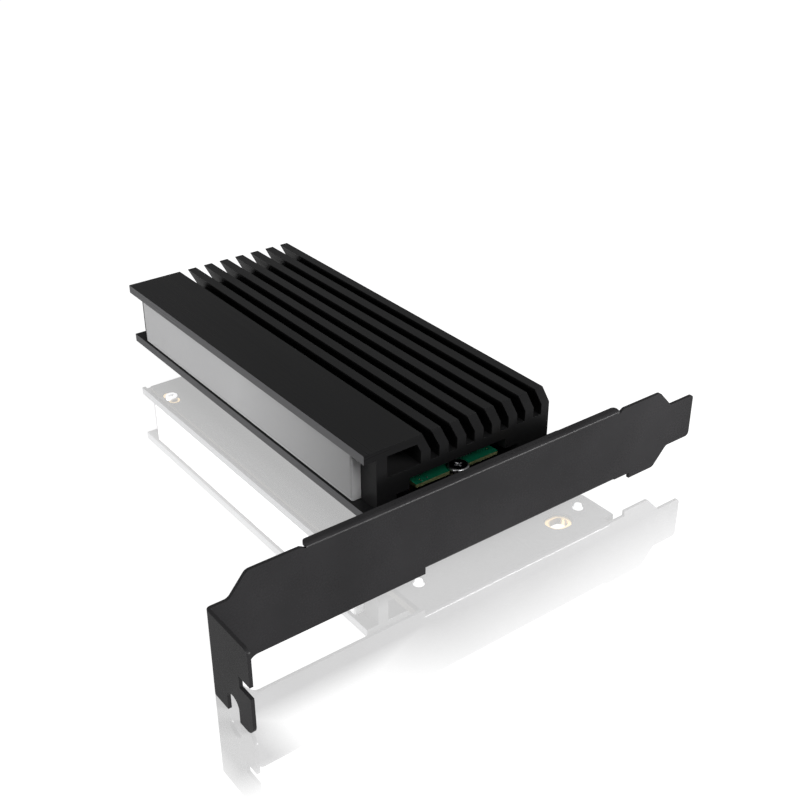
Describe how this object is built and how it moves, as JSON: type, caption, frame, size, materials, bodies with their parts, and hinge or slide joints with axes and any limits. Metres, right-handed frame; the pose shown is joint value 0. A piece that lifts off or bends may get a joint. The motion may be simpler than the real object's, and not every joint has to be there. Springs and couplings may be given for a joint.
{
  "type": "nvme adapter card",
  "caption": "Expansion card that carries a solid-state drive between thermal pads under a finned heatsink, with a light bar along one side and a full-height bracket",
  "frame": {"origin": "on the bracket's outer face, half way up its strip, in line with the middle of the drive", "axes": "X along the bracket from its tab to its tongue, with the edge connector on the +X side; Y from the bracket into the card; Z from the solder side to the component side"},
  "size_m": [0.12, 0.1328, 0.0228],
  "materials": {
    "black_steel": "black powder coat, satin",
    "screw_steel": "zinc plated",
    "board_black": "black solder mask over glass fibre",
    "gold_plating": "gold plated copper",
    "lamp_white": "clear lens over white",
    "ceramic_chip": "matt with tinned ends",
    "black_moulding": "moulded, fine matt",
    "tinned_contact": "tinned",
    "nickel_brass": "nickel plated",
    "board_green": "green solder mask",
    "chip_black": "moulded package, matt",
    "pad_grey": "soft silicone, matt",
    "black_anodised": "black anodised extrusion",
    "frosted_bar": "frosted translucent"
  },
  "bodies": {
    "root": {"bracket": "black_steel", "bracket_screws": "screw_steel", "circuit_board": "board_black", "slot_linings": "gold_plating", "edge_fingers": "gold_plating", "copper_area": "gold_plating", "lamps": "lamp_white", "chip_resistors": "ceramic_chip", "drive_socket": "black_moulding", "socket_contacts": "tinned_contact", "drive_standoff": "nickel_brass", "drive_screw": "screw_steel", "drive_board": "board_green", "drive_fingers": "gold_plating", "near_chip": "chip_black", "control_chip": "chip_black", "flash_chips": "chip_black", "drive_passives": "ceramic_chip", "lower_thermal_pad": "pad_grey", "upper_thermal_pad": "pad_grey", "heatsink": "black_anodised", "light_bar": "frosted_bar", "heatsink_screws": "screw_steel"}
  },
  "joints": []
}
